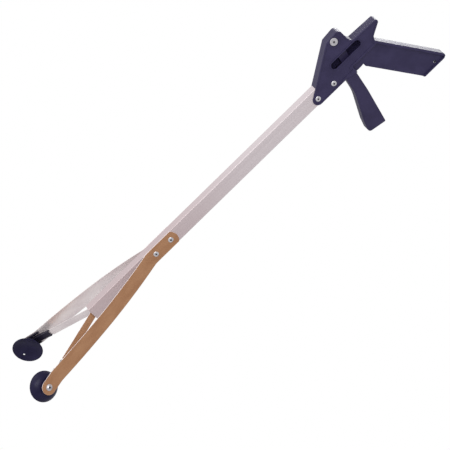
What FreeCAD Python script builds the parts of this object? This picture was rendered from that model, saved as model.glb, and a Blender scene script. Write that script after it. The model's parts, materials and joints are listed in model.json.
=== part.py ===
import FreeCAD, Part
import math
import os

# Reacher grabber: a pistol-grip handle, a rectangular aluminium tube, a trigger that pulls a
# rod through the tube, and two pairs of spring-steel bands that carry rubber cups.
# Millimetres. Origin at the centre of the hang hole in the grip's end.
# +X runs forward to the cups, +Y to the tool's left side, +Z up, away from the trigger.
# Outlines of the handle are written as (x, height above the tube's axis, corner radius).

V = FreeCAD.Vector

# ---- driving dimensions ----
tube_axis_z = 106.5        # tube's axis above the hang hole
tube_height = 25.4
tube_width = 19.05
tube_wall = 1.0
tube_corner_r = 1.0
tube_rear_x = 134.0
tube_mouth_x = 696.5
tube_mouth_chamfer = 0.6   # inner edge eased where the strips run out
tube_mouth_chamfer_len = 3.0

head_half = 11.5           # half the head's thickness
head_edge_r = 1.0
head_wall = 1.9            # side wall beside the tube and the lever
web_half = 5.5             # half the grip web's thickness
web_front_x = 87.6         # web stops here, below the seam, to clear the squeezed lever
grip_top_x = 50.5          # grip's back line, where it runs into the head
grip_top_z = 4.0
grip_end_x = -25.8         # the same line at the grip's end, before rounding
grip_end_z = -113.0
grip_end_r = 6.5
grip_end_front_x = 28.5
flange_depth = 4.0         # flange along the grip's back
flange_cove_r = 4.0
end_rim_half = 8.5
end_rim_depth = 2.6
rim_width = 2.6            # raised border of the head's side face
rim_rise = 0.8
step_cove_r = 5.5          # from the head's side face down to the web
slot_half = 6.3            # window in the head's left side
slot_front_x = 124.0
slot_rear_x = 73.0
slot_z = 19.3
slot_lip = 1.8
hang_hole_r = 2.8
horn_rib_pitch = 2.6
horn_rib_depth = 0.4
horn_rib_count = 16

pivot_x = 98.4
pivot_z = 50.6             # above the tube's axis
pivot_bolt_r = 3.0
pivot_head_r = 6.8
pivot_head_t = 1.8
pivot_recess_r = 8.4
pivot_recess_t = 1.0
pivot_boss_r = 10.8
pivot_nut_r = 5.8
pivot_nut_t = 3.4
sleeve_r = 4.0
sleeve_fit = 0.05          # running clearance of the lever on its sleeve, on the radius
bolt_fit = 0.10

seam_r = 69.5              # lever's shoulder, measured from the pivot
seam_gap = 0.4
lever_half = 11.2          # half the finger lever's thickness
lever_edge_r = 1.4
tongue_half = 3.0          # half the lever's thickness inside the head
tongue_gap = 0.5
tongue_overlap = 2.0       # how far the tongue runs into the lever below the seam
lever_sweep_r = 95.0       # web is cut clear of the lever out to here
hub_r = 6.8
hub_gap = 0.4
channel_half = 6.1         # channel in the lever's back, passes over the web
channel_depth = 14.0
channel_end_z = -110.5
lever_root_depth = 24.5    # the back outline is moved forward by less than this
lever_rib_z = (-60.0, -84.0)
lever_rib_t = 2.0

rod_z = 3.5                # rod's height above the tube's axis
pin_x = 106.9              # pin that pulls the rod, at the rod's height
pin_r = 2.0
pin_half = 6.6
pin_gap = 0.35
pin_drop = 0.8             # how far the pin dips in mid stroke
pin_rise = 0.3             # and rises at its end

rod_r = 2.0
yoke_inner = 3.5
yoke_outer = 5.6
yoke_half_height = 4.6
yoke_rear_x = 101.5
yoke_bridge_x = 118.0
yoke_front_x = 125.0
tip_rear_x = 672.0
tip_web_x = 680.5
tip_front_x = 690.5
tip_half_height = 9.4
tip_plate_t = 2.0
tip_half_width = 6.4

strip_pin_x = 687.9
strip_pin_y = 2.4
strip_pin_r = 1.0
strip_width = 12.7
strip_t = 0.6
strip_angle = 31.4
strip_eye_r = 1.75
strip_shoulder = 105.0     # pin to the shoulder of the strip's tongue
strip_tongue = 8.0
strip_tongue_width = 7.6

band_width = 25.4
band_t = 1.0
band_rear_x = 503.5
band_flat_x = 558.0        # where the flat root ends and the bend starts
band_end_r = 17.5          # curve of the band's rear end
bend_len = 8.0             # half of the bend belongs to the root, half to the lower piece
bend_angle = 26.0
lower_len = 132.6
lower_turn = -12.3
upper_len = 106.0
upper_turn = -5.5
kink_len = 10.0
kink_turn = 17.3
tail_len = 18.5            # from the kink to the cup's screw
band_joint_gap = 0.5       # between the pieces of one band, where it flexes

handle_rivet_x = (145.0, 181.0)
handle_rivet_z = -3.5
band_rivet_x = (516.8, 550.8)
rivet_shank_r = 2.4
rivet_head_r = 4.8
rivet_head_t = 1.3
rivet_bulb_r = 3.3
rivet_bulb_t = 2.4
rivet_core_r = 1.2

cup_r = 26.0
cup_depth = 18.0           # from the band to the rim's plane
cup_stem_r = 9.0
cup_hole_r = 2.4
cup_hole_at = 17.5         # small hole's distance from the cup's axis
holder_t = 4.0
holder_half = 10.0
holder_rear = -13.0
holder_front = 10.5
rail_t = 3.0
rail_low = 8.0
rail_high = 10.8
top_rail_rear = -31.0
low_rail_rear = -21.0
rail_end = -6.0            # rails run into the clip's plate up to here
bar_len = 43.0
bar_angle = 36.5
bar_half_t = 3.0
bar_gap = 1.7              # strip's shoulder to the bar's end, closes as the jaws shut
bar_half_height = 5.6
socket_depth = 9.5
socket_half_t = 1.8
socket_angle = 29.4        # midway between the strip's angles, open and shut
socket_shift = 0.35
socket_half_height = 4.4
screw_r = 2.0
screw_head_r = 4.3
screw_head_t = 2.2
screw_len = 9.0
screw_washer_r = 5.6
screw_washer_t = 0.8
screw_fit = 0.05
part_gap = 0.02            # face-to-face gap between stacked pieces of one body


# ---- small tools ----
def at(x, z, y=0.0):
    """Point from x and the height above the tube's axis."""
    return V(x, y, z + tube_axis_z)


def rounded_wire(corners, place):
    """Closed wire through corners (u, v, r), each rounded by its radius."""
    count = len(corners)
    edges = []
    starts = []
    ends = []
    middles = []
    for i in range(count):
        u, v, r = corners[i]
        pu, pv, _ = corners[i - 1]
        nu, nv, _ = corners[(i + 1) % count]
        a = V(pu - u, pv - v, 0)
        b = V(nu - u, nv - v, 0)
        a.normalize()
        b.normalize()
        corner = V(u, v, 0)
        if r <= 0:
            starts.append(corner)
            ends.append(corner)
            middles.append(None)
            continue
        half = a.getAngle(b) / 2
        back = r / math.tan(half)
        bisector = a + b
        bisector.normalize()
        centre = corner + bisector * (r / math.sin(half))
        starts.append(corner + a * back)
        ends.append(corner + b * back)
        middles.append(centre - bisector * r)
    for i in range(count):
        if middles[i] is not None:
            p, q, m = starts[i], ends[i], middles[i]
            edges.append(Part.Arc(place(p.x, p.y), place(m.x, m.y), place(q.x, q.y)).toShape())
        p = ends[i]
        q = starts[(i + 1) % count]
        if (q - p).Length > 1e-6:
            edges.append(Part.LineSegment(place(p.x, p.y), place(q.x, q.y)).toShape())
    return Part.Wire(edges)


def side_face(corners, y):
    """Face in a plane across Y, from a side outline."""
    return Part.Face(rounded_wire(corners, lambda u, v: at(u, v, y)))


def side_slab(corners, low, high):
    """Side outline made solid from y = low to y = high."""
    return side_face(corners, low).extrude(V(0, high - low, 0))


def ease_sides(solid, half, radius):
    """Round the edges that lie in the planes y = half and y = -half."""
    edges = []
    for edge in solid.Edges:
        ys = [vertex.Point.y for vertex in edge.Vertexes]
        if all(abs(abs(y) - half) < 1e-6 for y in ys) and max(ys) - min(ys) < 1e-6:
            edges.append(edge)
    return solid.makeFillet(radius, edges)


def box(low, high):
    """Box between two points given as (x, y, height above the tube's axis)."""
    size = [high[i] - low[i] for i in range(3)]
    return Part.makeBox(size[0], size[1], size[2], at(low[0], low[2], low[1]))


def across(x, z, radius, low, high):
    """Cylinder along Y."""
    return Part.makeCylinder(radius, high - low, at(x, z, low), V(0, 1, 0))


def mirrored(shape):
    """The same piece on the tool's other side."""
    return shape.mirror(V(0, 0, 0), V(0, 1, 0))


def export(name, *solids):
    """Write one node; several solids make a group."""
    shape = solids[0] if len(solids) == 1 else Part.makeCompound(list(solids))
    shape.exportStep("parts/" + name + ".step")
    print(name, len(shape.Solids), "solid(s)", round(shape.Volume / 1000, 3), "cm3", shape.isValid())


# ---- handle: two shells that meet on the tool's middle plane ----
head_outline = [
    (109.1, 58.4, 5.0),
    (79.2, 61.4, 8.0),
    (78.6, 36.0, 12.0),
    (75.5, 29.9, 4.0),
    (20.0, 27.3, 4.0),
    (24.0, 20.5, 4.0),
    (46.5, 7.0, 10.0),
    (49.0, -5.2, 0.0),
    (104.0, -5.2, 3.0),
    (104.0, -26.0, 0.0),
    (127.0, -26.0, 0.0),
    (127.0, -14.2, 0.0),
    (211.0, -14.2, 9.2),
]

grip_outline = [
    (grip_top_x, grip_top_z, 0.0),
    (grip_end_x, grip_end_z, grip_end_r),
    (grip_end_front_x, grip_end_z, 2.5),
    (89.5, -20.2, 14.0),
    (110.0, -20.2, 0.0),
    (110.0, grip_top_z, 0.0),
]

cavity_outline = [
    (106.3, 57.0, 2.0),
    (83.0, 59.4, 5.0),
    (82.5, 34.0, 4.0),
    (76.0, 26.6, 3.0),
    (33.0, 24.6, 2.0),
    (51.0, 10.0, 4.0),
    (53.0, -3.2, 1.0),
    (134.5, -3.2, 0.0),
    (134.5, 15.6, 0.0),
    (161.5, 15.6, 1.0),
]


def cove(start, along, inward, length, low, high, radius):
    """Concave fillet along one face, from y = high at the face to y = low a radius away."""
    swing = 1 - math.sin(math.pi / 4)
    outer = start + V(0, high, 0)
    middle = start + inward * (radius * swing) + V(0, low + (high - low) * swing, 0)
    inner = start + inward * radius + V(0, low, 0)
    arc = Part.Arc(outer, middle, inner).toShape()
    back = start - inward
    lines = Part.makePolygon([inner, start + inward * radius, back, back + V(0, high, 0), outer])
    return Part.Face(Part.Wire([arc] + lines.Edges)).extrude(along * length)


def grip_flange():
    """Wide flange along the grip's back, and the rim round its end."""
    top = at(grip_top_x, grip_top_z)
    end = at(grip_end_x, grip_end_z)
    along = end - top
    length = along.Length
    along.normalize()
    inward = V(-along.z, 0, along.x)
    pts = [top - inward * 20, end + along * 30 - inward * 20]
    pts += [end + along * 30 + inward * flange_depth, top + inward * flange_depth]
    pts = [p - V(0, 30, 0) for p in pts]
    keep = Part.Face(Part.makePolygon(pts + [pts[0]])).extrude(V(0, 60, 0))
    flange = side_slab(grip_outline, -head_half, head_half)
    flange = ease_sides(flange, head_half, head_edge_r).common(keep)
    coves = cove(top + inward * flange_depth, along, inward, length,
                 web_half, web_half + flange_cove_r, flange_cove_r)
    coves = coves.fuse(mirrored(coves)).common(side_slab(grip_outline, -30, 30))
    low = box((-40, -30, grip_end_z - 1), (grip_end_front_x + 10, 30, grip_end_z + end_rim_depth))
    rim = side_slab(grip_outline, -end_rim_half, end_rim_half).common(low)
    below = box((-60, -30, -130), (60, 30, 2.0))
    return flange.fuse([coves, rim]).common(below)


def step_cove():
    """Concave step from the head's side face down to the web, on the near side."""
    return cove(at(46.0, -5.2), V(1, 0, 0), V(0, 0, -1), 58.0, web_half, head_half, step_cove_r)


def head_block():
    """Head with its raised border, window lip and pivot boss."""
    head = ease_sides(side_slab(head_outline, -head_half, head_half), head_half, head_edge_r)
    seam = Part.makeCylinder(seam_r - seam_gap, 60, at(pivot_x, pivot_z, -30), V(0, 1, 0))
    below = box((90, -30, -40), (127.0, 30, -11)).cut(seam)
    head = head.cut(below)
    inset = side_face(head_outline, 0).makeOffset2D(-rim_width)
    lip = slot_shape(slot_half + slot_lip, 0, 30)
    boss = across(pivot_x, pivot_z, pivot_boss_r, -30, 30)
    for low in (head_half - rim_rise, -head_half - 5):
        field = inset.copy()
        field.translate(V(0, low, 0))
        field = field.extrude(V(0, rim_rise + 5, 0))
        field = field.cut(box((40, -30, -8), (110, 30, -2.0)))
        field = field.cut(box((100, -30, -40), (132, 30, -9.5)))
        head = head.cut(field.cut(lip).cut(boss))
    return head


def slot_shape(half, low, high):
    """Round-ended window, half its height given, from y = low to y = high."""
    span = box((slot_rear_x, low, slot_z - half), (slot_front_x, high, slot_z + half))
    ends = [across(x, slot_z, half, low, high) for x in (slot_rear_x, slot_front_x)]
    return span.fuse(ends)


def horn_ribs():
    """Grooves across the horn's top, for the thumb."""
    grooves = []
    for i in range(horn_rib_count):
        x = 27.0 + i * horn_rib_pitch
        z = 27.6 + (x - 20.0) * 0.047
        grooves.append(across(x, z + 0.45, 0.9, -head_half + 1.6, head_half - 1.6))
    return Part.makeCompound(grooves)


def lever_room():
    """Space that the lever sweeps through inside the head and the web."""
    wall_y = head_half - head_wall
    wide = side_slab(cavity_outline, -wall_y, wall_y)
    sector = across(pivot_x, pivot_z, seam_r + tongue_overlap + tongue_gap, -30, 30)
    slit_half = tongue_half + tongue_gap
    slit = box((74.0, -slit_half, -24), (128.0, slit_half, 0)).common(sector)
    return wide.fuse(slit)


def tube_pocket():
    """Socket that holds the tube's rear end."""
    fit = part_gap
    half_y = tube_width / 2 + fit
    half_z = tube_height / 2 + fit
    return box((tube_rear_x - fit, -half_y, -half_z), (230, half_y, half_z))


def whole_handle():
    body = head_block()
    web = side_slab(grip_outline, -web_half, web_half)
    body = body.fuse([web, grip_flange(), step_cove(), mirrored(step_cove())])
    swept = across(pivot_x, pivot_z, lever_sweep_r, -30, 30).cut(
        across(pivot_x, pivot_z, seam_r - seam_gap, -30, 30))
    body = body.cut(swept.common(box((web_front_x, -30, -60), (127, 30, -12))))
    body = body.cut(lever_room())
    body = body.cut(tube_pocket())
    body = body.cut(slot_shape(slot_half, 0, 30))
    body = body.cut(horn_ribs())
    body = body.cut(across(0, -tube_axis_z, hang_hole_r, -30, 30))
    body = body.cut(across(pivot_x, pivot_z, pivot_bolt_r + bolt_fit, -30, 30))
    for low, high in ((head_half - pivot_recess_t, 30), (-30, -head_half + pivot_recess_t)):
        body = body.cut(across(pivot_x, pivot_z, pivot_recess_r, low, high))
    for x in handle_rivet_x:
        body = body.cut(across(x, handle_rivet_z, rivet_shank_r, -30, 30))
    return body


def handle_shells():
    body = whole_handle()
    left = body.common(box((-60, 0, -150), (240, 40, 90)))
    right = body.common(box((-60, -40, -150), (240, 0, 90)))
    export("handle_left", *left.Solids)
    export("handle_right", *right.Solids)


# ---- tube and its rivets ----
def round_tube_bar(x0, x1, half_y, half_z, radius):
    """Bar along X with rounded long edges."""
    bar = box((x0, -half_y, -half_z), (x1, half_y, half_z))
    edges = [e for e in bar.Edges if abs(e.Vertexes[0].X - e.Vertexes[1].X) > 1.0]
    return bar.makeFillet(radius, edges)


def tube():
    half_y = tube_width / 2
    half_z = tube_height / 2
    outer = round_tube_bar(tube_rear_x, tube_mouth_x, half_y, half_z, tube_corner_r)
    inner_y = half_y - tube_wall
    inner_z = half_z - tube_wall
    body = outer.cut(box((tube_rear_x - 5, -inner_y, -inner_z), (tube_mouth_x + 5, inner_y, inner_z)))
    x0 = tube_mouth_x - tube_mouth_chamfer_len
    easing = []
    for side in (1, -1):
        pts = [V(x0, side * (inner_y - 1), -inner_z), V(x0, side * inner_y, -inner_z),
               V(tube_mouth_x + 1, side * (inner_y + tube_mouth_chamfer * 4 / 3), -inner_z),
               V(tube_mouth_x + 1, side * (inner_y - 1), -inner_z)]
        pts = [p + V(0, 0, tube_axis_z) for p in pts]
        easing.append(Part.Face(Part.makePolygon(pts + [pts[0]])).extrude(V(0, 0, 2 * inner_z)))
    for wedge in easing:
        body = body.cut(wedge)
    for x in handle_rivet_x:
        body = body.cut(across(x, handle_rivet_z, rivet_shank_r, -30, 30))
    for x in band_rivet_x:
        body = body.cut(across(x, 0, rivet_shank_r, -30, 30))
    export("tube", body)


def blind_rivet(x, z, seat_y, wall_y):
    """Blind rivet on the near side: head on y = seat_y, bulb behind y = wall_y."""
    dome = Part.makeSphere(rivet_head_r * 1.9, at(x, z, seat_y + rivet_head_t - rivet_head_r * 1.9))
    head = across(x, z, rivet_head_r, seat_y, seat_y + rivet_head_t + 1).common(dome)
    shank = across(x, z, rivet_shank_r, wall_y - 1, seat_y + 0.1)
    bulb = across(x, z, rivet_bulb_r, wall_y - rivet_bulb_t, wall_y)
    core = across(x, z, rivet_core_r, seat_y - 1.2, seat_y + 5)
    return head.fuse([shank, bulb]).cut(core).removeSplitter()


def rivets():
    wall_y = tube_width / 2 - tube_wall
    near = [blind_rivet(x, handle_rivet_z, head_half - rim_rise, wall_y) for x in handle_rivet_x]
    export("handle_rivets", *(near + [mirrored(r) for r in near]))
    seat = tube_width / 2 + part_gap + band_t
    near = [blind_rivet(x, 0, seat, wall_y) for x in band_rivet_x]
    export("band_rivets", *(near + [mirrored(r) for r in near]))


# ---- pivot: shoulder sleeve, bolt and nut ----
def pivot():
    seat = head_half - pivot_recess_t
    wall_y = head_half - head_wall
    sleeve = across(pivot_x, pivot_z, sleeve_r, -wall_y, wall_y)
    sleeve = sleeve.cut(across(pivot_x, pivot_z, pivot_bolt_r + bolt_fit, -30, 30))
    export("pivot_sleeve", sleeve)
    head = across(pivot_x, pivot_z, pivot_head_r, seat, seat + pivot_head_t)
    rim = [e for e in head.Edges if abs(e.Vertexes[0].Y - seat - pivot_head_t) < 1e-6]
    head = head.makeChamfer(0.5, rim)
    shank = across(pivot_x, pivot_z, pivot_bolt_r, -seat - pivot_nut_t - 0.8, seat)
    drive = hexagon(pivot_x, pivot_z, 2.0, seat + pivot_head_t - 1.0, seat + pivot_head_t + 2)
    export("pivot_bolt", head.fuse(shank).cut(drive))
    nut = hexagon(pivot_x, pivot_z, pivot_nut_r, -seat - pivot_nut_t, -seat)
    ball = Part.makeSphere(pivot_nut_r * 1.35, at(pivot_x, pivot_z, -seat + 3.0))
    nut = nut.common(ball).cut(across(pivot_x, pivot_z, pivot_bolt_r, -30, 0))
    export("pivot_nut", nut)


def hexagon(x, z, radius, low, high):
    """Six-sided prism along Y."""
    pts = []
    for i in range(6):
        a = math.radians(60 * i)
        pts.append(at(x + radius * math.cos(a), z + radius * math.sin(a), low))
    return Part.Face(Part.makePolygon(pts + [pts[0]])).extrude(V(0, high - low, 0))


# ---- trigger lever and the pin that pulls the rod ----
lever_outline = [
    (104.2, -8.0, 0.0),
    (111.8, -55.0, 150.0),
    (126.0, -119.6, 2.0),
    (159.3, -113.4, 5.5),
    (152.8, -92.0, 25.0),
    (131.2, -44.0, 70.0),
    (125.0, -8.0, 0.0),
]

tongue_outline = [
    (107.5, 46.0, 0.0),
    (88.6, 46.0, 0.0),
    (96.6, 4.0, 20.0),
    (105.2, -22.0, 0.0),
    (123.2, -22.0, 0.0),
    (121.5, -13.5, 4.0),
    (113.6, -7.0, 8.0),
]


def trigger():
    inside = across(pivot_x, pivot_z, seam_r, -30, 30)
    lever = ease_sides(side_slab(lever_outline, -lever_half, lever_half), lever_half, lever_edge_r)
    lever = lever.cut(inside)
    back = side_slab(lever_outline, -channel_half, channel_half)
    back.translate(V(channel_depth - lever_root_depth, 0, 0))
    floor = box((60, -30, channel_end_z), (170, 30, 0))
    lever = lever.cut(back.common(floor))
    ribs = []
    for z in lever_rib_z:
        rib = side_slab(lever_outline, -channel_half - 0.5, channel_half + 0.5)
        set_back = rib.copy()
        set_back.translate(V(3.0, 0, 0))
        level = box((60, -30, z - lever_rib_t / 2), (170, 30, z + lever_rib_t / 2))
        ribs.append(rib.common(set_back).common(level))
    tongue = side_slab(tongue_outline, -tongue_half, tongue_half)
    tongue = tongue.common(across(pivot_x, pivot_z, seam_r + tongue_overlap, -30, 30))
    hub_half = head_half - head_wall - hub_gap
    hub = across(pivot_x, pivot_z, hub_r, -hub_half, hub_half)
    body = lever.fuse(ribs + [tongue, hub])
    body = body.cut(across(pivot_x, pivot_z, sleeve_r + sleeve_fit, -30, 30))
    body = body.cut(across(pin_x, rod_z, pin_r, -30, 30))
    export("trigger", body)
    export("rod_pin", across(pin_x, rod_z, pin_r, -pin_half, pin_half))


# ---- pull rod: yoke, rod and tip ----
def yoke():
    body = box((yoke_rear_x, -yoke_outer, rod_z - yoke_half_height),
               (yoke_front_x, yoke_outer, rod_z + yoke_half_height))
    room = box((yoke_rear_x - 5, -yoke_inner, -30), (yoke_bridge_x, yoke_inner, 30))
    body = body.cut(room)
    edges = [e for e in body.Edges if abs(abs(e.Vertexes[0].Y) - yoke_outer) < 1e-6
             and abs(e.Vertexes[0].X - e.Vertexes[-1].X) > 5]
    body = body.makeFillet(0.8, edges)
    low = rod_z - pin_drop - pin_r - pin_gap
    high = rod_z + pin_rise + pin_r + pin_gap
    half = pin_r + pin_gap
    slot = box((pin_x - half, -30, low + half), (pin_x + half, 30, high - half))
    slot = slot.fuse([across(pin_x, low + half, half, -30, 30), across(pin_x, high - half, half, -30, 30)])
    body = body.cut(slot)
    body = body.cut(rod_bar(yoke_bridge_x + 1.0, tip_web_x))
    export("rod_yoke", body)


def rod_bar(x0, x1):
    return Part.makeCylinder(rod_r, x1 - x0, at(x0, rod_z), V(1, 0, 0))


def rod_tip():
    half_h = tip_half_height
    web = box((tip_rear_x, -tip_half_width, -half_h), (tip_web_x, tip_half_width, half_h))
    plates = []
    for low in (half_h - tip_plate_t, -half_h):
        high = low + tip_plate_t
        plates.append(box((tip_rear_x, -tip_half_width, low), (tip_front_x, tip_half_width, high)))
    body = web.fuse(plates).removeSplitter()
    body = body.cut(rod_bar(tip_rear_x - 1, tip_web_x - 1.5))
    for pin in strip_pins():
        body = body.cut(pin)
    export("rod_tip", body)


def strip_pins():
    pins = []
    for side in (1, -1):
        base = at(strip_pin_x, -tip_half_height, side * strip_pin_y)
        pins.append(Part.makeCylinder(strip_pin_r, 2 * tip_half_height, base))
    return pins


def rod():
    export("pull_rod", rod_bar(yoke_bridge_x + 1.0, tip_web_x - 1.5))
    yoke()
    rod_tip()
    export("strip_pins", *strip_pins())


# ---- spring bands, built on the near side and mirrored ----
def band_run(start, heading, runs, thickness, width):
    """Band standing on edge along runs of (length, turn in degrees); gives solid, end, heading."""
    left = []
    right = []
    point = V(start.x, start.y, 0)
    angle = math.radians(heading)
    half = thickness / 2
    for length, turn in runs:
        ends = []
        for share in (0.0, 0.5, 1.0):
            a, p = travel(point, angle, length, math.radians(turn), share)
            side = V(-math.sin(a), math.cos(a), 0) * half
            ends.append((p + side, p - side))
        for row, k in ((left, 0), (right, 1)):
            p0, p1, p2 = (e[k] for e in ends)
            if turn:
                row.append(Part.Arc(p0, p1, p2).toShape())
            else:
                row.append(Part.LineSegment(p0, p2).toShape())
        angle, point = travel(point, angle, length, math.radians(turn), 1.0)
    first = Part.LineSegment(left[0].Vertexes[0].Point, right[0].Vertexes[0].Point).toShape()
    last = Part.LineSegment(left[-1].Vertexes[-1].Point, right[-1].Vertexes[-1].Point).toShape()
    face = Part.Face(Part.Wire(Part.__sortEdges__(left + right + [first, last])))
    face.translate(V(0, 0, tube_axis_z - width / 2))
    return face.extrude(V(0, 0, width)), point, math.degrees(angle)


def travel(point, angle, length, turn, share):
    """Heading and place after a share of a run that turns steadily."""
    end = angle + turn * share
    if abs(turn) < 1e-9:
        return end, point + V(math.cos(angle), math.sin(angle), 0) * (length * share)
    radius = length / turn
    dx = radius * (math.sin(end) - math.sin(angle))
    dy = radius * (math.cos(angle) - math.cos(end))
    return end, point + V(dx, dy, 0)


band_y = tube_width / 2 + part_gap + band_t / 2


def band_root():
    """Riveted part of the band, with the first half of the bend."""
    runs = [(band_flat_x - band_rear_x, 0), (bend_len / 2, bend_angle / 2)]
    body, end, heading = band_run(V(band_rear_x, band_y, 0), 0, runs, band_t, band_width)
    keep = across(band_rear_x + band_end_r, 0, band_end_r, -60, 60)
    body = body.common(keep.fuse(box((band_rear_x + 6, -60, -60), (band_flat_x + 20, 60, 60))))
    for x in band_rivet_x:
        body = body.cut(across(x, 0, rivet_shank_r, -30, 30))
    return body, end, heading


def past_gap(point, heading, gap):
    """Point a gap further along a heading."""
    a = math.radians(heading)
    return point + V(math.cos(a), math.sin(a), 0) * gap


def band_lower(start, heading):
    """Flexing part of the band, from the bend to the knee."""
    runs = [(bend_len / 2, bend_angle / 2), (lower_len, lower_turn)]
    start = past_gap(start, heading, band_joint_gap)
    return band_run(start, heading, runs, band_t, band_width)


def band_upper(start, heading):
    """Front part of the band, with a rounded end round the cup's screw."""
    start = past_gap(start, heading, band_joint_gap)
    runs = [(upper_len, upper_turn), (kink_len, kink_turn), (tail_len, 0)]
    _, screw, tilt = band_run(start, heading, runs, band_t, band_width)
    runs[-1] = (tail_len + band_width / 2, 0)
    body, _, _ = band_run(start, heading, runs, band_t, band_width)
    frame = finger_frame(screw, tilt)
    block = Part.makeBox(2 * band_width, 60, 60, V(0, -30, -30))
    block = block.cut(Part.makeCylinder(band_width / 2, 60, V(0, -30, 0), V(0, 1, 0)))
    block = placed(block, frame)
    hole = placed(Part.makeCylinder(screw_r + screw_fit, 60, V(0, -30, 0), V(0, 1, 0)), frame)
    return body.cut(block).cut(hole), frame


def finger_frame(screw, tilt):
    """Frame at the cup's screw: X along the band's end, Y outward, Z up."""
    place = FreeCAD.Placement(V(screw.x, screw.y, tube_axis_z), FreeCAD.Rotation(V(0, 0, 1), tilt))
    return place


def placed(shape, frame):
    moved = shape.copy()
    moved.Placement = frame.multiply(moved.Placement)
    return moved


def lathe(points):
    """Solid of revolution about the cup's axis from (radius, depth) corners.

    A corner may add an arc's middle (radius, depth), for the arc that ends there.
    """
    edges = []
    for i in range(len(points)):
        a = points[i]
        b = points[(i + 1) % len(points)]
        p = V(a[0], -a[1], 0)
        q = V(b[0], -b[1], 0)
        if len(b) == 4:
            edges.append(Part.Arc(p, V(b[2], -b[3], 0), q).toShape())
        elif (q - p).Length > 1e-6:
            edges.append(Part.LineSegment(p, q).toShape())
    face = Part.Face(Part.Wire(edges))
    return face.revolve(V(0, 0, 0), V(0, 1, 0), 360)


def cup(frame, hole_turn):
    base = band_t / 2 + holder_t + 2 * part_gap
    rim = cup_depth
    profile = [
        (0, base), (cup_stem_r, base), (cup_stem_r, base + 2.2),
        (cup_r - 1.0, rim - 1.9, cup_r * 0.68, base + 5.0),
        (cup_r, rim - 0.9), (cup_r, rim), (cup_r - 1.2, rim),
        (5.0, base + 6.0, cup_r * 0.62, rim - 4.2), (0, base + 5.6),
    ]
    body = lathe(profile)
    bore_len = screw_len - base + 0.5
    bore = Part.makeCylinder(screw_r, bore_len, V(0, -(base + bore_len), 0), V(0, 1, 0))
    body = body.cut(bore)
    a = math.radians(hole_turn)
    spot = V(cup_hole_at * math.cos(a), -60, cup_hole_at * math.sin(a))
    body = body.cut(Part.makeCylinder(cup_hole_r, 60, spot, V(0, 1, 0)))
    return placed(body, frame)


def holder_local(bar_end, frame):
    """Black clip between the band and the cup, with two rails and the bar that takes the strip."""
    near = -(band_t / 2 + part_gap)
    plate_len = holder_front - holder_rear
    plate = Part.makeBox(plate_len, holder_t, 2 * holder_half, V(holder_rear, near - holder_t, -holder_half))
    edges = [e for e in plate.Edges if abs(e.Vertexes[0].Y - e.Vertexes[1].Y) > 1.0]
    plate = plate.makeFillet(4.0, edges)
    rails = []
    rail_far = near - rail_t
    for side, rear in ((1, top_rail_rear), (-1, low_rail_rear)):
        low = rail_low if side > 0 else -rail_high
        height = rail_high - rail_low
        rails.append(Part.makeBox(rail_end - rear, rail_t, height, V(rear, rail_far, low)))
    body = plate.fuse(rails)
    body = placed(body, frame)
    turn = FreeCAD.Rotation(V(0, 0, 1), bar_angle)
    bar = Part.makeBox(bar_len, 2 * bar_half_t, 2 * bar_half_height, V(0, -bar_half_t, -bar_half_height))
    edges = [e for e in bar.Edges if abs(e.Vertexes[0].X - e.Vertexes[1].X) > 1.0]
    bar = bar.makeFillet(1.0, edges)
    spot = FreeCAD.Placement(bar_end + V(0, 0, tube_axis_z), turn)
    bar = placed(bar, spot)
    outer = placed(Part.makeBox(120, 40, 60, V(-60, near, -30)), frame)
    body = body.fuse(bar.cut(outer))
    turn = FreeCAD.Rotation(V(0, 0, 1), socket_angle)
    socket = Part.makeBox(socket_depth + 2, 2 * socket_half_t, 2 * socket_half_height,
                          V(-2, socket_shift - socket_half_t, -socket_half_height))
    body = body.cut(placed(socket, FreeCAD.Placement(bar_end + V(0, 0, tube_axis_z), turn)))
    hole = Part.makeCylinder(screw_r + screw_fit, 60, V(0, -30, 0), V(0, 1, 0))
    return body.cut(placed(hole, frame)).removeSplitter()


def screw_and_washer(frame):
    seat = band_t / 2 + part_gap
    washer = Part.makeCylinder(screw_washer_r, screw_washer_t, V(0, seat, 0), V(0, 1, 0))
    washer = washer.cut(Part.makeCylinder(screw_r + screw_fit, 9, V(0, 0, 0), V(0, 1, 0)))
    top = seat + screw_washer_t + part_gap
    ball = Part.makeSphere(screw_head_r * 1.25, V(0, top + screw_head_t - screw_head_r * 1.25, 0))
    head = Part.makeCylinder(screw_head_r, screw_head_t + 1, V(0, top, 0), V(0, 1, 0)).common(ball)
    shank = Part.makeCylinder(screw_r, screw_len + top, V(0, -screw_len, 0), V(0, 1, 0))
    arms = [Part.makeBox(4.4, 3, 1.0, V(-2.2, top + screw_head_t - 1.0, -0.5)),
            Part.makeBox(1.0, 3, 4.4, V(-0.5, top + screw_head_t - 1.0, -2.2))]
    screw = head.fuse(shank).cut(arms[0].fuse(arms[1]))
    return placed(screw, frame), placed(washer, frame)


def strip():
    """Inner strip: eye on the rod's pin, flat run, narrow tongue in the holder's bar."""
    pin = V(strip_pin_x, strip_pin_y, 0)
    a = math.radians(strip_angle)
    ahead = V(math.cos(a), math.sin(a), 0)
    height = strip_width
    flat, _, _ = band_run(pin + ahead * (strip_pin_r + 0.3), strip_angle,
                          [(strip_shoulder - strip_pin_r - 0.3, 0)], strip_t, height)
    tongue, _, _ = band_run(pin + ahead * (strip_shoulder - 1.0), strip_angle,
                            [(strip_tongue + 1.0, 0)], strip_t, strip_tongue_width)
    low = V(pin.x, pin.y, tube_axis_z - height / 2)
    eye = Part.makeCylinder(strip_eye_r, height, low)
    body = flat.fuse([tongue, eye])
    return body.cut(Part.makeCylinder(strip_pin_r + 0.08, height, low)).removeSplitter()


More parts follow.
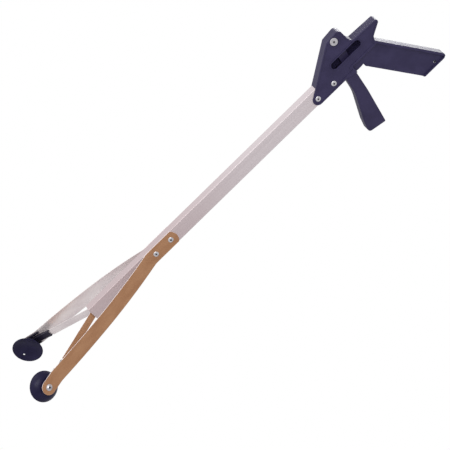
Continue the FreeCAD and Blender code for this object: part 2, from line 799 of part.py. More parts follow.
def fingers():
    root, bend, heading = band_root()
    print("bend hinge at", past_gap(bend, heading, band_joint_gap / 2))
    export("near_band_root", root)
    export("far_band_root", mirrored(root))
    lower, knee, heading = band_lower(bend, heading)
    print("knee hinge at", past_gap(knee, heading, band_joint_gap / 2), "heading", round(heading, 2))
    export("near_band_lower", lower)
    export("far_band_lower", mirrored(lower))
    upper, frame = band_upper(knee, heading)
    print("cup screw at", frame.Base, "tilt", round(math.degrees(frame.Rotation.Angle), 2))
    export("near_band_upper", upper)
    export("far_band_upper", mirrored(upper))
    inner = strip()
    export("near_inner_strip", inner)
    export("far_inner_strip", mirrored(inner))
    a = math.radians(strip_angle)
    bar_end = V(strip_pin_x, strip_pin_y, 0) + V(math.cos(a), math.sin(a), 0) * (strip_shoulder + bar_gap)
    print("bar end at", bar_end)
    holder = holder_local(bar_end, frame)
    export("near_cup_holder", holder)
    export("far_cup_holder", mirrored(holder))
    export("near_cup", cup(frame, 180.0))
    export("far_cup", mirrored(cup(frame, -24.0)))
    screw, washer = screw_and_washer(frame)
    export("near_cup_screw", screw)
    export("far_cup_screw", mirrored(screw))
    export("near_cup_washer", washer)
    export("far_cup_washer", mirrored(washer))


os.makedirs("parts", exist_ok=True)
handle_shells()
tube()
rivets()
pivot()
trigger()
rod()
fingers()
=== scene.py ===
import json
import math

import bmesh
import bpy
from mathutils import Matrix, Vector


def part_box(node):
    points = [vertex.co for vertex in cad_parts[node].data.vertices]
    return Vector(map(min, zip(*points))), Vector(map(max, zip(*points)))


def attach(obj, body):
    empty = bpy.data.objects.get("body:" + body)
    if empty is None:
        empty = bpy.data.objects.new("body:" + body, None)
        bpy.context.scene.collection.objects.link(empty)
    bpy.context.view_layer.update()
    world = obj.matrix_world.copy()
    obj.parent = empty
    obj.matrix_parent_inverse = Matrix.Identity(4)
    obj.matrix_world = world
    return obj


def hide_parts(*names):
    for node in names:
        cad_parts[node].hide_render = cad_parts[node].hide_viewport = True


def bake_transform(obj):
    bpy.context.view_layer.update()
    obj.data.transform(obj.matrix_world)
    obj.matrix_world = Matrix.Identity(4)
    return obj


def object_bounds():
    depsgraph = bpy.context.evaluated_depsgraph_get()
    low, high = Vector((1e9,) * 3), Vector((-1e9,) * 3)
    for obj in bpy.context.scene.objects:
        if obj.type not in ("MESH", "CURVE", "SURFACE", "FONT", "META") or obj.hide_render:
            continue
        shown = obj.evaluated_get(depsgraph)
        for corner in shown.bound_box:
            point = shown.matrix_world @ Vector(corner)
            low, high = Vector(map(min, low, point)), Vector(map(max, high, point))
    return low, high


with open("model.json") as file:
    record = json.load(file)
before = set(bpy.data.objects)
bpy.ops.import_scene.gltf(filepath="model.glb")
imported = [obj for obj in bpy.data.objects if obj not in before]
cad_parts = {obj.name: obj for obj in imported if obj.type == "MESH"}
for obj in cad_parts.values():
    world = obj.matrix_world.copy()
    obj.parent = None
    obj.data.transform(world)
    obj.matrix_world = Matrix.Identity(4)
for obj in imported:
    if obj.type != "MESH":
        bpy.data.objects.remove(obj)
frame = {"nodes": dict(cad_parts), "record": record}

CAD_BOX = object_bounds()
MM = 0.001
NODES = frame["nodes"]
JOINTS = {joint["name"]: joint for joint in frame["record"]["behaviour"]["joints"]}

# ---- sizes, in millimetres and degrees unless a name or comment says otherwise ----
TUBE_LOW, TUBE_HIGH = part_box("tube")
TUBE_AXIS = (TUBE_LOW.z + TUBE_HIGH.z) / 2 / MM
TUBE_FACE = TUBE_HIGH.y / MM
HANDLE_RIM = 0.8
HANDLE_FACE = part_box("handle_left")[1].y / MM - HANDLE_RIM

# Edges of a band or strip are eased by THIN_EDGE, or by a share of a size that is too small for it.
THIN_EDGE = 0.25
EDGE_OF_WIDTH = 0.5
EDGE_OF_THICKNESS = 0.35
BLUNT_HALF = 0.35
THIN_CREASE = 25.0

# A band lies flat on the tube, then follows runs of (length, turn) out to its cup. The runs are
# those of the CAD pieces, with the gaps between the pieces closed.
BAND_THICK = 0.95
BAND_HALF = 12.7
BAND_GAP = 0.02
BAND_REAR_CURVE = 17.5
# The rounded rear end and the round tip take shorter steps than the rest.
BAND_REAR_FINE = 5.5
TIP_SHARES = (0.25, 0.5, 0.75)
BAND_FLAT_END = 558.0
BEND_RUN = (8.5, 26.0)
LOWER_RUN = (132.85, -12.3)
UPPER_RUN = (106.25, -5.5)
KINK_RUN = (10.0, 17.3)
TAIL_RUN = (18.5, 0.0)
BAND_STEP = 2.0
BAND_FINE_STEP = 0.5
# The band is cut here, between its two hinges. A reach about each hinge is measured from the hinge.
SPLIT_AFTER_BEND = 48.0
BEND_REACH = (-4.0, 12.0)
KNEE_REACH = (-46.0, 46.0)

STRIP_THICK = 0.6
STRIP_HALF = 6.35
STRIP_ANGLE = 31.4
STRIP_EYE = 1.7
STRIP_EYE_SIDES = 24
STRIP_SHOULDER = 105.0
STRIP_SHOULDER_RUN = 1.5
STRIP_TONGUE = 8.0
STRIP_STEP = 6.0
STRIP_FINE_STEP = 0.75
TONGUE_HALF = 3.8

# A rivet head's sizes in metres, by the names of the tree's inputs.
RIVET_SIZES = {"Head Radius": 4.75 * MM, "Rise": 1.5 * MM, "Mandrel Radius": 1.7 * MM}
# Each slice of a rivet's dome: lower radius, upper radius, lower height, upper height, as shares.
RIVET_DOME = [(0.96, 1.0, 0.0, 0.14), (1.0, 0.97, 0.14, 0.30), (0.97, 0.86, 0.30, 0.56),
              (0.86, 0.66, 0.56, 0.80), (0.66, 0.42, 0.80, 0.94)]
RIVET_SIDES = 32
RIVET_CREASE = 32.0
# The mandrel's length and the height of its middle, as shares of the head's rise.
MANDREL_LENGTH = 0.5
MANDREL_MIDDLE = 0.82
MANDREL_SIDES = 20
HANDLE_RIVET_X = (145.0, 181.0)
HANDLE_RIVET_RISE = -3.5
BAND_RIVET_X = (516.8, 550.8)

# The painted shade of the driving recess in a screw's or bolt's head: its radius, and the share that is
# darkest.
DRIVE_RADIUS = 2.4 * MM
DRIVE_CORE = 0.7

# The room's light, from straight below to straight above.
ROOM_LOW = 0.16
ROOM_HIGH = 1.02
ROOM_TINT = (1.0, 0.98, 1.0, 1.0)
WHITE = (1.0, 1.0, 1.0, 1.0)
# Soft boxes in metres and watts: name, place, aim, size, power.
SOFT_BOXES = [("overhead_box", (0.4, 0.3, 2.2), (0.42, 0.0, TUBE_AXIS * MM), (2.4, 1.2), 8.0),
              ("side_box", (-0.1, 2.3, 1.7), (0.3, 0.0, 0.1), (2.2, 1.2), 26.0),
              ("rear_box", (-1.2, -2.4, 0.0), (0.0, 0.0, 0.0), (1.5, 0.7), 34.0)]
# Floor, in metres: how far below the tool, and how far it reaches.
FLOOR_DROP = 0.45
FLOOR_REACH = 9.0

CAMERA_PLACE = (177.7, 3219.6, 1550.5 + TUBE_AXIS)
CAMERA_RIGHT = (-0.71486, 0.26500, -0.64711)
CAMERA_UP = (-0.69554, -0.36491, 0.61893)
CAMERA_BACK = (-0.07212, 0.89254, 0.44517)
CAMERA_LENS = 173.44
CAMERA_SENSOR = 36.0
CAMERA_FAR = 50.0

# ---- colours ----
ZINC = (0.72, 0.71, 0.73)
# Painted shade laid into the driving recess of a screw or bolt.
RECESS_SHADE = (0.05, 0.045, 0.05)
SEAM_BLACK = (0.004, 0.004, 0.006)


# ---- shader writing ----
class Value:
    """One socket of a material's tree, with the arithmetic a pattern needs."""

    def __init__(self, finish, socket):
        self.finish = finish
        self.socket = socket

    def _math(self, operation, other, swapped=False):
        first, second = (other, self) if swapped else (self, other)
        return self.finish.add("ShaderNodeMath", {"operation": operation}, {0: first, 1: second})

    def __add__(self, other):
        return self._math("ADD", other)

    __radd__ = __add__

    def __mul__(self, other):
        return self._math("MULTIPLY", other)

    __rmul__ = __mul__

    def __sub__(self, other):
        return self._math("SUBTRACT", other)

    def __rsub__(self, other):
        return self._math("SUBTRACT", other, swapped=True)

    def size(self):
        return self.finish.add("ShaderNodeMath", {"operation": "ABSOLUTE"}, {0: self})

    def between(self, low, high):
        """0 below low, 1 above high, and a smooth step from one to the other."""
        settings = {"interpolation_type": "SMOOTHSTEP"}
        return self.finish.add("ShaderNodeMapRange", settings, {0: self, 1: low, 2: high})


class Finish:
    """A procedural material built round one Principled shader.

    Its color and roughness are constants, which hold until something is fed over them.
    """

    def __init__(self, name, color, roughness, metallic=0.0, specular=0.5):
        self.material = bpy.data.materials.new(name)
        self.material.use_nodes = True
        self.tree = self.material.node_tree
        self.tree.nodes.clear()
        self.shader = self.tree.nodes.new("ShaderNodeBsdfPrincipled")
        output = self.tree.nodes.new("ShaderNodeOutputMaterial")
        self.tree.links.new(self.shader.outputs["BSDF"], output.inputs["Surface"])
        constants = {"Base Color": (*color, 1.0), "Roughness": roughness,
                     "Metallic": metallic, "Specular IOR Level": specular}
        for socket, value in constants.items():
            self.shader.inputs[socket].default_value = value

    def add(self, kind, settings=None, inputs=None, output=0):
        """Adds one node: settings first, then constants or links, and returns an output."""
        node = self.tree.nodes.new(kind)
        for key, value in (settings or {}).items():
            setattr(node, key, value)
        for key, value in (inputs or {}).items():
            if isinstance(value, Value):
                self.tree.links.new(value.socket, node.inputs[key])
            else:
                node.inputs[key].default_value = value
        return Value(self, node.outputs[output])

    def feed(self, socket, value):
        self.tree.links.new(value.socket, self.shader.inputs[socket])

    def place(self, scale=(1.0, 1.0, 1.0)):
        """Object coordinates in metres, stretched by a scale."""
        spot = self.add("ShaderNodeTexCoord", output="Object")
        return self.add("ShaderNodeMapping", None, {"Vector": spot, "Scale": scale})

    def run(self, scale=(1.0, 1.0, 1.0)):
        """The piece's own UV map: metres along it and across it."""
        spot = self.add("ShaderNodeUVMap", {"uv_map": "run"})
        return self.add("ShaderNodeMapping", None, {"Vector": spot, "Scale": scale})

    def noise(self, where, scale, detail=2.0, roughness=0.5):
        inputs = {"Vector": where, "Scale": scale, "Detail": detail, "Roughness": roughness}
        return self.add("ShaderNodeTexNoise", None, inputs)

    def axis(self, where, name):
        """One coordinate, X, Y or Z, of a place."""
        return self.add("ShaderNodeSeparateXYZ", None, {0: where}, output=name)

    def tint(self, amount, color_a, color_b):
        """Colour from a to b by an amount from 0 to 1."""
        settings = {"data_type": "RGBA"}
        inputs = {0: amount, 6: (*color_a, 1.0), 7: (*color_b, 1.0)}
        return self.add("ShaderNodeMix", settings, inputs, output=2)

    def shade(self, amount, color, under):
        """One flat colour laid over another colour by an amount."""
        settings = {"data_type": "RGBA"}
        return self.add("ShaderNodeMix", settings, {0: amount, 6: under, 7: (*color, 1.0)}, output=2)

    def off_axis(self, base, axis):
        """Distance in metres from a line through base along a unit axis."""
        spot = self.add("ShaderNodeTexCoord", output="Object")
        off = self.add("ShaderNodeVectorMath", {"operation": "SUBTRACT"}, {0: spot, 1: base})
        turned = self.add("ShaderNodeVectorMath", {"operation": "CROSS_PRODUCT"}, {0: off, 1: axis})
        return self.add("ShaderNodeVectorMath", {"operation": "LENGTH"}, {0: turned}, output="Value")

    def bump(self, height, distance, strength=1.0):
        inputs = {"Height": height, "Distance": distance, "Strength": strength}
        self.feed("Normal", self.add("ShaderNodeBump", None, inputs))


def moulded_plastic(name, light, dark, seam=False):
    """Black moulded plastic: fine grain and faint flow marks, and a parting line at Y = 0 if asked."""
    finish = Finish(name, light, 0.42, specular=0.32)
    where = finish.place()
    grain = finish.noise(where, 1500.0, 3.0, 0.6)
    cloud = finish.noise(where, 38.0, 3.0, 0.55)
    base = finish.tint(cloud.between(0.3, 0.7), dark, light)
    height = grain
    rough = 0.36 + 0.10 * cloud + 0.08 * grain
    if seam:
        off_centre = finish.axis(where, "Y").size()
        groove = 1.0 - off_centre.between(0.08 * MM, 0.30 * MM)
        base = finish.shade(groove * 0.75, SEAM_BLACK, base)
        height = grain - groove * 2.5
        rough = rough + groove * 0.25
    finish.feed("Base Color", base)
    finish.feed("Roughness", rough)
    finish.bump(height, 0.06 * MM, 0.55)
    return finish.material


def anodised_tube():
    """Satin anodised aluminium with extrusion lines along X, and painted shade that makes it darker and
    warmer towards the cups.
    """
    finish = Finish("anodised_tube", (0.60, 0.53, 0.54), 0.38, metallic=0.35)
    lines = finish.noise(finish.place((2.0, 300.0, 300.0)), 1.0, 2.0, 0.4)
    cloud = finish.noise(finish.place((9.0, 60.0, 60.0)), 1.0, 2.0, 0.5)
    base = finish.tint(lines.between(0.25, 0.75), (0.64, 0.575, 0.585), (0.70, 0.635, 0.645))
    base = finish.shade(cloud.between(0.45, 0.85) * 0.2, (0.50, 0.42, 0.43), base)
    # Painted shade: the base colour darkens and warms towards the cups.
    forward = finish.axis(finish.place(), "X").between(0.30, 0.56)
    base = finish.shade(forward * 0.55, (0.50, 0.375, 0.375), base)
    finish.feed("Base Color", base)
    finish.feed("Roughness", 0.32 + 0.08 * lines + 0.06 * cloud)
    finish.bump(lines, 0.01 * MM, 0.1)
    return finish.material


def rolled_strip(name, light, dark, metallic, roughness):
    """Rolled spring steel: fine marks along the strip, and slow tarnish clouds."""
    finish = Finish(name, light, roughness, metallic=metallic)
    marks = finish.noise(finish.run((3.0, 380.0, 1.0)), 1.0, 2.0, 0.4)
    cloud = finish.noise(finish.run((26.0, 70.0, 1.0)), 1.0, 3.0, 0.5)
    base = finish.tint(cloud.between(0.3, 0.75), light, dark)
    base = finish.shade(marks.between(0.45, 0.8) * 0.2, dark, base)
    finish.feed("Base Color", base)
    finish.feed("Roughness", roughness - 0.04 + 0.08 * marks)
    finish.bump(marks, 0.01 * MM, 0.08)
    return finish.material


def plated_steel(name, color, roughness, drive=None):
    """Zinc-plated or tumbled metal: tiny pits and slightly uneven shine.

    drive is (base, axis) of a screw's driving recess, which is darkened with painted shade.
    """
    finish = Finish(name, color, roughness, metallic=0.9)
    pits = finish.noise(finish.place(), 1400.0, 2.0, 0.6)
    cloud = finish.noise(finish.place(), 240.0, 2.0, 0.5)
    darker = tuple(0.72 * part for part in color)
    base = finish.tint(cloud.between(0.3, 0.75), color, darker)
    if drive:
        away = finish.off_axis(*drive)
        recess = 1.0 - away.between(DRIVE_RADIUS * DRIVE_CORE, DRIVE_RADIUS)
        # Painted shade: the driving recess is darkened in the base colour.
        base = finish.shade(recess * 0.85, RECESS_SHADE, base)
    finish.feed("Base Color", base)
    finish.feed("Roughness", roughness - 0.06 + 0.16 * pits)
    finish.bump(pits, 0.04 * MM, 0.4)
    return finish.material


def cup_rubber():
    """Dark smooth rubber with a faint bloom."""
    finish = Finish("cup_rubber", (0.012, 0.010, 0.040), 0.26, specular=0.2)
    cloud = finish.noise(finish.place(), 70.0, 3.0, 0.55)
    grain = finish.noise(finish.place(), 1200.0, 2.0, 0.5)
    base = finish.tint(cloud.between(0.35, 0.8), (0.009, 0.007, 0.032), (0.016, 0.013, 0.048))
    finish.feed("Base Color", base)
    finish.feed("Roughness", 0.20 + 0.16 * cloud + 0.05 * grain)
    finish.bump(grain, 0.03 * MM, 0.4)
    return finish.material


def shown(name, data):
    """A new object in the scene, at the origin."""
    piece = bpy.data.objects.new(name, data)
    bpy.context.scene.collection.objects.link(piece)
    return piece


def set_finish(material, *names):
    """Gives CAD nodes, by name, one material in place of their own."""
    for name in names:
        mesh = NODES[name].data
        mesh.materials.clear()
        mesh.materials.append(material)


# ---- spring bands and inner strips ----
def walk(start, heading, runs, step):
    """Stations along runs of (length, turn): each is (place, heading in radians, distance)."""
    place = Vector(start)
    angle = math.radians(heading)
    gone = 0.0
    stations = [(place.copy(), angle, gone)]
    for length, turn in runs:
        count = max(1, round(length / step))
        for _ in range(count):
            angle += math.radians(turn) / count / 2
            place += Vector((math.cos(angle), math.sin(angle))) * (length / count)
            angle += math.radians(turn) / count / 2
            gone += length / count
            stations.append((place.copy(), angle, gone))
    return stations


def walk_on(stations, runs, step):
    """The same stations, carried on from the last one along more runs."""
    place, angle, gone = stations[-1]
    more = walk(place, math.degrees(angle), runs, step)
    return stations + [(spot, turn, gone + distance) for spot, turn, distance in more[1:]]


def blade(name, stations, half_at, thick, side, outer, inner):
    """Thin metal strip standing on edge along stations, with eased edges and closed ends.

    half_at gives half the strip's width at a distance. The side is 1 for the near finger and
    -1 for the far one, and the faces turned away from the tool's middle plane get outer.
    """
    mesh = bpy.data.meshes.new(name)
    work = bmesh.new()
    uv = work.loops.layers.uv.new("run")
    rings = []
    marks = {}
    for place, angle, gone in stations:
        half = max(half_at(gone), BLUNT_HALF)
        ease = min(THIN_EDGE, half * EDGE_OF_WIDTH)
        flat = thick / 2 - min(THIN_EDGE, thick * EDGE_OF_THICKNESS)
        out = Vector((-math.sin(angle), math.cos(angle)))
        section = [(thick / 2, half - ease), (flat, half), (-flat, half), (-thick / 2, half - ease)]
        section += [(-thick / 2, -half + ease), (-flat, -half), (flat, -half), (thick / 2, -half + ease)]
        ring = []
        for off, rise in section:
            spot = place + out * off
            vertex = work.verts.new(Vector((spot.x, side * spot.y, TUBE_AXIS + rise)) * MM)
            marks[vertex] = (gone * MM, rise * MM)
            ring.append(vertex)
        rings.append(ring)
    count = len(rings[0])
    for ring, following in zip(rings, rings[1:]):
        for i in range(count):
            j = (i + 1) % count
            face = work.faces.new((ring[i], following[i], following[j], ring[j]))
            face.material_index = 0 if i == count - 1 else 1
    for end in (rings[0], rings[-1]):
        work.faces.new(end)
    for face in work.faces:
        for loop in face.loops:
            loop[uv].uv = marks[loop.vert]
    bmesh.ops.recalc_face_normals(work, faces=work.faces)
    work.to_mesh(mesh)
    work.free()
    mesh.materials.append(outer)
    mesh.materials.append(inner)
    shade_by_angle(mesh, THIN_CREASE)
    return shown(name, mesh)


def shade_by_angle(mesh, degrees):
    """Smooth shading that keeps edges sharper than an angle."""
    mesh.shade_smooth()
    mesh.set_sharp_from_angle(angle=math.radians(degrees))


def world_point(place, side):
    """A station's place in metres, at the height of the tube's axis."""
    return (place.x * MM, side * place.y * MM, TUBE_AXIS * MM)


def band_line(label):
    """A band's stations, as on the near side, and the distances to its bend and to its round tip."""
    rear_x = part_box(label + "_band_root")[0].x / MM
    band_y = TUBE_FACE + BAND_GAP + BAND_THICK / 2
    flat = BAND_FLAT_END - rear_x
    runs = [(flat - BAND_REAR_FINE, 0.0), BEND_RUN, LOWER_RUN, UPPER_RUN, KINK_RUN, TAIL_RUN]
    tip = BAND_REAR_FINE + sum(length for length, _ in runs)
    stations = walk((rear_x, band_y), 0.0, [(BAND_REAR_FINE, 0.0)], BAND_FINE_STEP)
    return walk_on(stations, runs + [(BAND_HALF, 0.0)], BAND_STEP), flat, tip


def nearest_to(stations, distance):
    """The station whose distance along the band is closest to the one asked for."""
    return min(stations, key=lambda station: abs(station[2] - distance))


def cup_screw_line(label, side):
    """A point in metres on the cup screw's axis, and the axis."""
    stations, _, tip = band_line(label)
    place, angle, _ = nearest_to(stations, tip)
    return world_point(place, side), (-math.sin(angle), side * math.cos(angle), 0.0)


def spring_band(label, side, outer, inner):
    """One band in two lengths: rivets to the lower run, and lower run to the cup."""
    stations, flat, tip = band_line(label)
    fine = []
    for before, after in zip(stations, stations[1:]):
        fine.append(before)
        if before[2] > tip:
            for share in TIP_SHARES:
                middle = before[0].lerp(after[0], share)
                fine.append((middle, before[1], before[2] + (after[2] - before[2]) * share))
    fine.append(stations[-1])

    def half_at(gone):
        """Half the band's width, which falls away at its two rounded ends."""
        if gone < BAND_REAR_CURVE:
            reach = BAND_REAR_CURVE - gone
            return min(BAND_HALF, math.sqrt(max(0.0, BAND_REAR_CURVE ** 2 - reach ** 2)))
        if gone > tip:
            return math.sqrt(max(0.0, BAND_HALF ** 2 - (gone - tip) ** 2))
        return BAND_HALF

    def reach_of(hinge_at, reach):
        """The two points that bound a reach about a hinge."""
        return [world_point(nearest_to(fine, hinge_at + step)[0], side) for step in reach]

    cut = next(i for i, station in enumerate(fine) if station[2] > flat + SPLIT_AFTER_BEND)
    bend_start, bend_end = reach_of(flat + BEND_RUN[0] / 2, BEND_REACH)
    knee_start, knee_end = reach_of(flat + BEND_RUN[0] + LOWER_RUN[0], KNEE_REACH)
    rear = blade(label + "_band_rear_length", fine[:cut + 1], half_at, BAND_THICK, side, outer, inner)
    front = blade(label + "_band_front_length", fine[cut:], half_at, BAND_THICK, side, outer, inner)
    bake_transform(rear)
    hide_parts(label + "_band_root")
    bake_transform(front)
    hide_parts(label + "_band_lower", label + "_band_upper")


def inner_strip(label, side, outer, inner):
    """Flat strip from its eye on the rod's pin to its tongue in the cup holder.

    The eye takes the strip's inner finish.
    """
    pin = Vector(JOINTS[label + "_strip_pin"]["pos_m"]) / MM
    start = Vector((pin.x, side * pin.y))
    ahead = Vector((math.cos(math.radians(STRIP_ANGLE)), math.sin(math.radians(STRIP_ANGLE))))
    shoulder = STRIP_SHOULDER - STRIP_EYE
    narrowing = shoulder - STRIP_SHOULDER_RUN
    stations = walk(start + ahead * STRIP_EYE, STRIP_ANGLE, [(narrowing, 0.0)], STRIP_STEP)
    tail = [(2 * STRIP_SHOULDER_RUN, 0.0), (STRIP_TONGUE - STRIP_SHOULDER_RUN, 0.0)]
    stations = walk_on(stations, tail, STRIP_FINE_STEP)

    def half_at(gone):
        share = min(1.0, max(0.0, (gone - narrowing) / STRIP_SHOULDER_RUN))
        rounded = share * share * (3 - 2 * share)
        return STRIP_HALF + (TONGUE_HALF - STRIP_HALF) * rounded

    strip = blade(label + "_strip_blade", stations, half_at, STRIP_THICK, side, outer, inner)
    eye = bmesh.new()
    eye.from_mesh(strip.data)
    turn = Matrix.Translation(Vector((pin.x, pin.y, TUBE_AXIS)) * MM)
    rolled = bmesh.ops.create_cone(eye, cap_ends=True, segments=STRIP_EYE_SIDES,
                                   radius1=STRIP_EYE * MM, radius2=STRIP_EYE * MM,
                                   depth=2 * STRIP_HALF * MM, matrix=turn)
    for vertex in rolled["verts"]:
        for face in vertex.link_faces:
            face.material_index = 1
    eye.to_mesh(strip.data)
    eye.free()
    shade_by_angle(strip.data, THIN_CREASE)
    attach(strip, label + "_strip")
    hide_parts(label + "_inner_strip")


# ---- rivets ----
def rivet_tree(material, core_material):
    """Geometry Nodes tree that seats one domed blind rivet on each point, along its axis."""
    tree = bpy.data.node_groups.new("blind_rivets", "GeometryNodeTree")
    tree.interface.new_socket("Geometry", in_out="OUTPUT", socket_type="NodeSocketGeometry")
    tree.interface.new_socket("Geometry", in_out="INPUT", socket_type="NodeSocketGeometry")
    for name in RIVET_SIZES:
        tree.interface.new_socket(name, in_out="INPUT", socket_type="NodeSocketFloat")
    nodes = tree.nodes
    links = tree.links
    inside = nodes.new("NodeGroupInput")
    outside = nodes.new("NodeGroupOutput")

    def scaled(socket, factor):
        node = nodes.new("ShaderNodeMath")
        node.operation = "MULTIPLY"
        links.new(socket, node.inputs[0])
        node.inputs[1].default_value = factor
        return node.outputs[0]

    def frustum(bottom, top, rise_from, rise_to):
        """Closed slice of the head: radii as shares of the head's, heights as shares of its rise."""
        cone = nodes.new("GeometryNodeMeshCone")
        cone.inputs["Vertices"].default_value = RIVET_SIDES
        links.new(scaled(inside.outputs["Head Radius"], bottom), cone.inputs["Radius Bottom"])
        links.new(scaled(inside.outputs["Head Radius"], top), cone.inputs["Radius Top"])
        links.new(scaled(inside.outputs["Rise"], rise_to - rise_from), cone.inputs["Depth"])
        return lifted(cone.outputs["Mesh"], scaled(inside.outputs["Rise"], rise_from))

    def lifted(mesh, height):
        move = nodes.new("GeometryNodeTransform")
        combine = nodes.new("ShaderNodeCombineXYZ")
        links.new(height, combine.inputs["Z"])
        links.new(combine.outputs[0], move.inputs["Translation"])
        links.new(mesh, move.inputs["Geometry"])
        return move.outputs["Geometry"]

    join = nodes.new("GeometryNodeJoinGeometry")
    for dome_slice in RIVET_DOME:
        links.new(frustum(*dome_slice), join.inputs[0])
    pin = nodes.new("GeometryNodeMeshCylinder")
    pin.inputs["Vertices"].default_value = MANDREL_SIDES
    links.new(inside.outputs["Mandrel Radius"], pin.inputs["Radius"])
    links.new(scaled(inside.outputs["Rise"], MANDREL_LENGTH), pin.inputs["Depth"])
    core = nodes.new("GeometryNodeStoreNamedAttribute")
    core.data_type = "BOOLEAN"
    core.domain = "FACE"
    core.inputs["Name"].default_value = "core"
    core.inputs["Value"].default_value = True
    raised = lifted(pin.outputs["Mesh"], scaled(inside.outputs["Rise"], MANDREL_MIDDLE))
    links.new(raised, core.inputs["Geometry"])
    links.new(core.outputs["Geometry"], join.inputs[0])

    axis = nodes.new("GeometryNodeInputNamedAttribute")
    axis.data_type = "FLOAT_VECTOR"
    axis.inputs["Name"].default_value = "axis"
    aim = nodes.new("FunctionNodeAlignRotationToVector")
    links.new(axis.outputs["Attribute"], aim.inputs["Vector"])
    points = nodes.new("GeometryNodeMeshToPoints")
    links.new(inside.outputs["Geometry"], points.inputs["Mesh"])
    seat = nodes.new("GeometryNodeInstanceOnPoints")
    links.new(points.outputs["Points"], seat.inputs["Points"])
    links.new(join.outputs[0], seat.inputs["Instance"])
    links.new(aim.outputs["Rotation"], seat.inputs["Rotation"])
    real = nodes.new("GeometryNodeRealizeInstances")
    links.new(seat.outputs["Instances"], real.inputs["Geometry"])
    coat = nodes.new("GeometryNodeSetMaterial")
    coat.inputs["Material"].default_value = material
    links.new(real.outputs["Geometry"], coat.inputs["Geometry"])
    is_core = nodes.new("GeometryNodeInputNamedAttribute")
    is_core.data_type = "BOOLEAN"
    is_core.inputs["Name"].default_value = "core"
    dark = nodes.new("GeometryNodeSetMaterial")
    dark.inputs["Material"].default_value = core_material
    links.new(coat.outputs["Geometry"], dark.inputs["Geometry"])
    links.new(is_core.outputs["Attribute"], dark.inputs["Selection"])
    links.new(dark.outputs["Geometry"], outside.inputs["Geometry"])
    return tree


def rivet_heads(name, node, places_x, rise, face, tree):
    """Rivet heads at each X, a rise above the tube's axis, on a face and on the one opposite."""
    mesh = bpy.data.meshes.new(name + "_seats")
    spots = []
    axes = []
    for x in places_x:
        for side in (1, -1):
            spots.append((x * MM, side * face * MM, (TUBE_AXIS + rise) * MM))
            axes.append((0.0, float(side), 0.0))
    mesh.from_pydata(spots, [], [])
    layer = mesh.attributes.new("axis", "FLOAT_VECTOR", "POINT")
    for item, axis in zip(layer.data, axes):
        item.vector = axis
    seed = shown(name + "_seed", mesh)
    maker = seed.modifiers.new("rivets", "NODES")
    maker.node_group = tree
    for item in tree.interface.items_tree:
        if item.in_out == "INPUT" and item.name in RIVET_SIZES:
            maker[item.identifier] = RIVET_SIZES[item.name]
    graph = bpy.context.evaluated_depsgraph_get()
    made = bpy.data.meshes.new_from_object(seed.evaluated_get(graph))
    bpy.data.objects.remove(seed)
    made.name = name
    shade_by_angle(made, RIVET_CREASE)
    piece = shown(name, made)
    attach(piece, "frame")
    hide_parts(node)


# ---- stage ----
def stage_floor():
    """Pale floor well below the tool, white where the camera sees it and grey to every other ray."""
    low, high = CAD_BOX
    mesh = bpy.data.meshes.new("floor")
    middle = (low.x + high.x) / 2
    corners = [(middle + FLOOR_REACH * along, FLOOR_REACH * across, low.z - FLOOR_DROP)
               for along, across in ((-1, -1), (1, -1), (1, 1), (-1, 1))]
    mesh.from_pydata(corners, [], [(0, 1, 2, 3)])
    floor = shown("floor", mesh)
    finish = Finish("pale_floor", (0.50, 0.50, 0.51), 0.9, specular=0.1)
    tree = finish.tree
    paper = tree.nodes.new("ShaderNodeEmission")
    path = tree.nodes.new("ShaderNodeLightPath")
    mix = tree.nodes.new("ShaderNodeMixShader")
    output = next(node for node in tree.nodes if node.type == "OUTPUT_MATERIAL")
    tree.links.new(path.outputs["Is Camera Ray"], mix.inputs["Fac"])
    tree.links.new(finish.shader.outputs["BSDF"], mix.inputs[1])
    tree.links.new(paper.outputs["Emission"], mix.inputs[2])
    tree.links.new(mix.outputs[0], output.inputs["Surface"])
    mesh.materials.append(finish.material)


def soft_box(name, place, aim, size, power):
    """A rectangular soft light at a place, turned to a point."""
    light = bpy.data.lights.new(name, "AREA")
    light.shape = "RECTANGLE"
    light.size, light.size_y = size
    light.energy = power
    lamp = shown(name, light)
    lamp.location = place
    lamp.rotation_euler = (Vector(aim) - Vector(place)).to_track_quat("-Z", "Y").to_euler()


def studio():
    """Room light that grows towards the ceiling, with soft boxes above, beside and behind."""
    world = bpy.data.worlds.new("studio")
    world.use_nodes = True
    tree = world.node_tree
    tree.nodes.clear()
    output = tree.nodes.new("ShaderNodeOutputWorld")
    mix = tree.nodes.new("ShaderNodeMixShader")
    path = tree.nodes.new("ShaderNodeLightPath")
    room = tree.nodes.new("ShaderNodeBackground")
    paper = tree.nodes.new("ShaderNodeBackground")
    spot = tree.nodes.new("ShaderNodeTexCoord")
    split = tree.nodes.new("ShaderNodeSeparateXYZ")
    level = tree.nodes.new("ShaderNodeMapRange")
    tree.links.new(spot.outputs["Generated"], split.inputs[0])
    tree.links.new(split.outputs["Z"], level.inputs["Value"])
    for name, value in (("From Min", -1.0), ("From Max", 1.0), ("To Min", ROOM_LOW), ("To Max", ROOM_HIGH)):
        level.inputs[name].default_value = value
    tree.links.new(level.outputs["Result"], room.inputs["Strength"])
    tree.links.new(path.outputs["Is Camera Ray"], mix.inputs["Fac"])
    tree.links.new(room.outputs[0], mix.inputs[1])
    tree.links.new(paper.outputs[0], mix.inputs[2])
    tree.links.new(mix.outputs[0], output.inputs["Surface"])
    room.inputs["Color"].default_value = ROOM_TINT
    paper.inputs["Color"].default_value = WHITE
    bpy.context.scene.world = world
    for box in SOFT_BOXES:
        soft_box(*box)
    bpy.context.scene.view_settings.view_transform = "Standard"


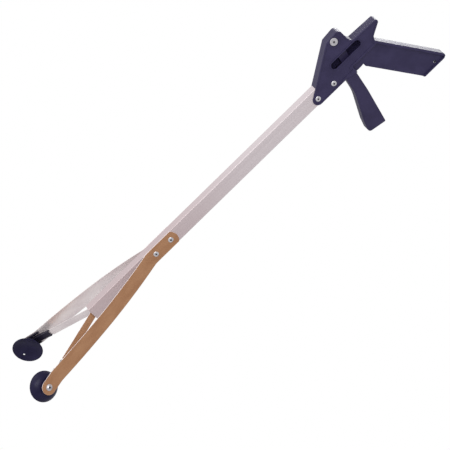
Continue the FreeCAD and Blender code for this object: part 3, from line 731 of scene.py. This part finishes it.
def camera():
    """Long lens over the tool's left side, looking down and a little forward."""
    lens = bpy.data.cameras.new("camera")
    lens.sensor_width = CAMERA_SENSOR
    lens.lens = CAMERA_LENS
    lens.clip_end = CAMERA_FAR
    turn = Matrix((CAMERA_RIGHT, CAMERA_UP, CAMERA_BACK)).transposed().to_4x4()
    eye = shown("camera", lens)
    eye.matrix_world = Matrix.Translation(Vector(CAMERA_PLACE) * MM) @ turn
    bpy.context.scene.camera = eye


# ---- the tool ----
handle_black = moulded_plastic("handle_black", (0.034, 0.028, 0.080), (0.025, 0.020, 0.063), seam=True)
lever_black = moulded_plastic("lever_black", (0.032, 0.026, 0.074), (0.023, 0.018, 0.056))
holder_black = moulded_plastic("holder_black", (0.012, 0.009, 0.024), (0.007, 0.005, 0.015))
band_bronze = rolled_strip("band_bronze", (0.45, 0.235, 0.118), (0.38, 0.185, 0.088), 0.30, 0.40)
band_bright = rolled_strip("band_bright", (0.93, 0.86, 0.84), (0.80, 0.72, 0.72), 0.50, 0.30)
zinc_plate = plated_steel("zinc_plate", ZINC, 0.30)
rivet_metal = plated_steel("rivet_metal", (0.80, 0.80, 0.82), 0.26)
rivet_core = plated_steel("rivet_core", (0.10, 0.09, 0.10), 0.42)
pivot_line = (JOINTS["trigger_hinge"]["pos_m"], JOINTS["trigger_hinge"]["axis"])
pivot_zinc = plated_steel("pivot_zinc", ZINC, 0.30, pivot_line)

set_finish(handle_black, "handle_left", "handle_right")
set_finish(lever_black, "trigger")
set_finish(holder_black, "near_cup_holder", "far_cup_holder", "rod_yoke", "rod_tip")
set_finish(anodised_tube(), "tube")
set_finish(cup_rubber(), "near_cup", "far_cup")
set_finish(pivot_zinc, "pivot_bolt")
set_finish(zinc_plate, "pivot_nut", "pivot_sleeve", "rod_pin", "pull_rod", "strip_pins")
set_finish(zinc_plate, "near_cup_washer", "far_cup_washer")

for finger, facing in (("near", 1), ("far", -1)):
    screw_zinc = plated_steel(finger + "_screw_zinc", ZINC, 0.30, cup_screw_line(finger, facing))
    set_finish(screw_zinc, finger + "_cup_screw")
    spring_band(finger, facing, band_bronze, band_bright)
    inner_strip(finger, facing, band_bronze, band_bright)

rivets = rivet_tree(rivet_metal, rivet_core)
band_face = TUBE_FACE + BAND_GAP + BAND_THICK
rivet_heads("handle_rivet_heads", "handle_rivets", HANDLE_RIVET_X, HANDLE_RIVET_RISE, HANDLE_FACE, rivets)
rivet_heads("band_rivet_heads", "band_rivets", BAND_RIVET_X, 0.0, band_face, rivets)

stage_floor()
studio()
camera()
